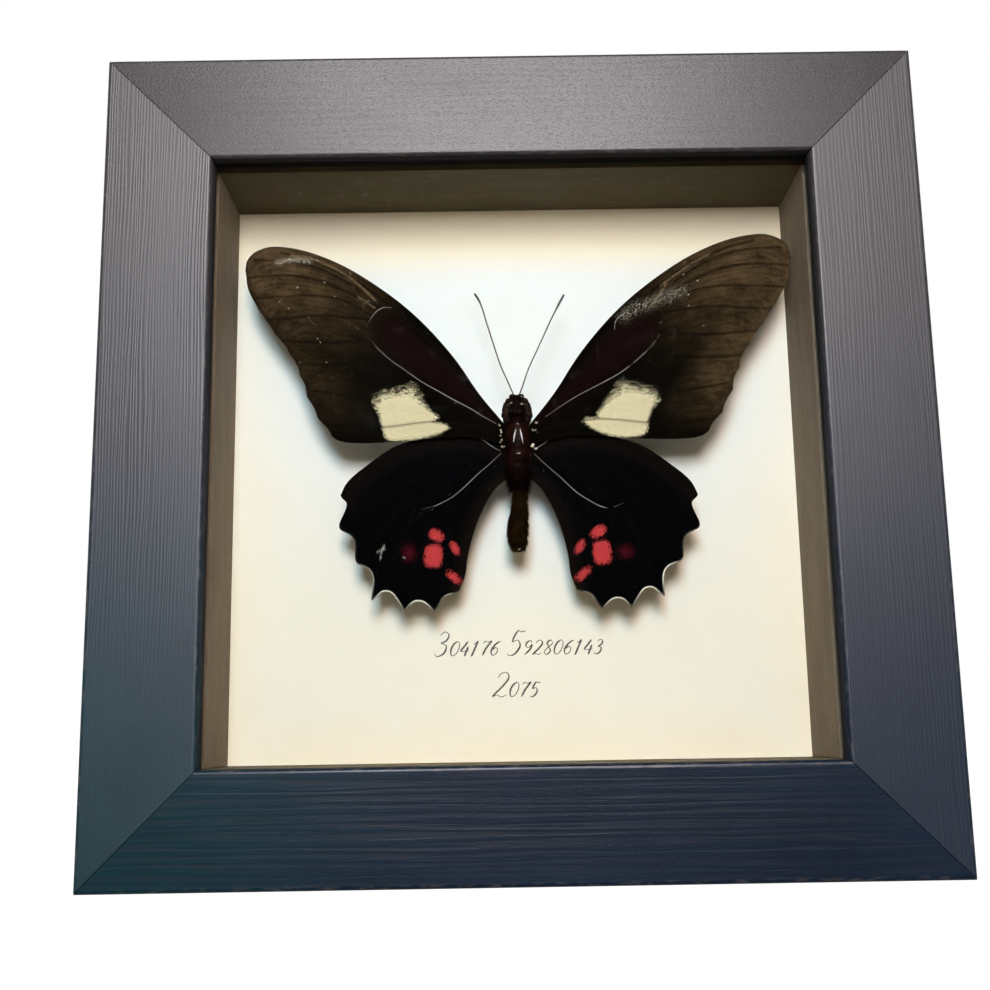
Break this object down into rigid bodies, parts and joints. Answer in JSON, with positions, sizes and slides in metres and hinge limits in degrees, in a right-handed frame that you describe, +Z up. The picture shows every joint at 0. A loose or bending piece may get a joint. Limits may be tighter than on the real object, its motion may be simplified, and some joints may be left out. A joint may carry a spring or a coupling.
{
  "type": "butterfly display case",
  "caption": "Square shadow-box display case: deep mitred dark wood frame, glass front, wood liner, papered board with a spread butterfly, and a back panel held by turn buttons.",
  "frame": {"origin": "middle of the underside of the frame, the face it stands on, halfway through the depth of the wood", "axes": "+Z up, +X to the right as seen from the front, -Y towards the viewer: the glass faces -Y and the hanger is on the +Y side"},
  "size_m": [0.127, 0.0331, 0.127],
  "materials": {
    "frame_wood": "dark stained, open grain, satin",
    "v_nail_steel": "plain",
    "glass": "clear",
    "liner_wood": "grey-brown stained, matte",
    "paper": "uncoated cream paper",
    "foam_board": "matte",
    "hardboard": "smooth brown hardboard",
    "button_steel": "zinc plated",
    "screw_steel": "zinc plated",
    "hanger_brass": "thin brass plate",
    "bumper_rubber": "matte",
    "foam_block": "matte foam",
    "specimen_body": "short fur",
    "specimen_eye": "dark gloss",
    "forewing": "matte scales",
    "hindwing": "matte scales",
    "antenna": "satin"
  },
  "bodies": {
    "case": {"rail_top": "frame_wood", "rail_bottom": "frame_wood", "stile_left": "frame_wood", "stile_right": "frame_wood", "corner_v_nails": "v_nail_steel", "glass_pane": "glass", "liner_top": "liner_wood", "liner_bottom": "liner_wood", "liner_left": "liner_wood", "liner_right": "liner_wood", "mount_paper": "paper", "mount_board": "foam_board", "back_panel": "hardboard", "turn_button_screws": "screw_steel", "sawtooth_hanger": "hanger_brass", "hanger_nails": "hanger_brass", "bumper_pads": "bumper_rubber", "specimen_block": "foam_block", "thorax": "specimen_body", "head": "specimen_body", "eyes": "specimen_eye", "abdomen": "specimen_body", "forewing_left": "forewing", "forewing_right": "forewing", "hindwing_left": "hindwing", "hindwing_right": "hindwing", "antenna_left": "antenna", "antenna_right": "antenna"},
    "button_upper_left": {"turn_button_upper_left": "button_steel"},
    "button_upper_right": {"turn_button_upper_right": "button_steel"},
    "button_lower_left": {"turn_button_lower_left": "button_steel"},
    "button_lower_right": {"turn_button_lower_right": "button_steel"}
  },
  "joints": [
    {"name": "upper_left_turn", "type": "hinge", "parent": "case", "child": "button_upper_left", "pos_m": [-0.05735, 0.01585, 0.0915], "axis": [0, 1, 0], "continuous": true},
    {"name": "upper_right_turn", "type": "hinge", "parent": "case", "child": "button_upper_right", "pos_m": [0.05735, 0.01585, 0.0915], "axis": [0, 1, 0], "continuous": true},
    {"name": "lower_left_turn", "type": "hinge", "parent": "case", "child": "button_lower_left", "pos_m": [-0.05735, 0.01585, 0.0355], "axis": [0, 1, 0], "continuous": true},
    {"name": "lower_right_turn", "type": "hinge", "parent": "case", "child": "button_lower_right", "pos_m": [0.05735, 0.01585, 0.0355], "axis": [0, 1, 0], "continuous": true}
  ]
}
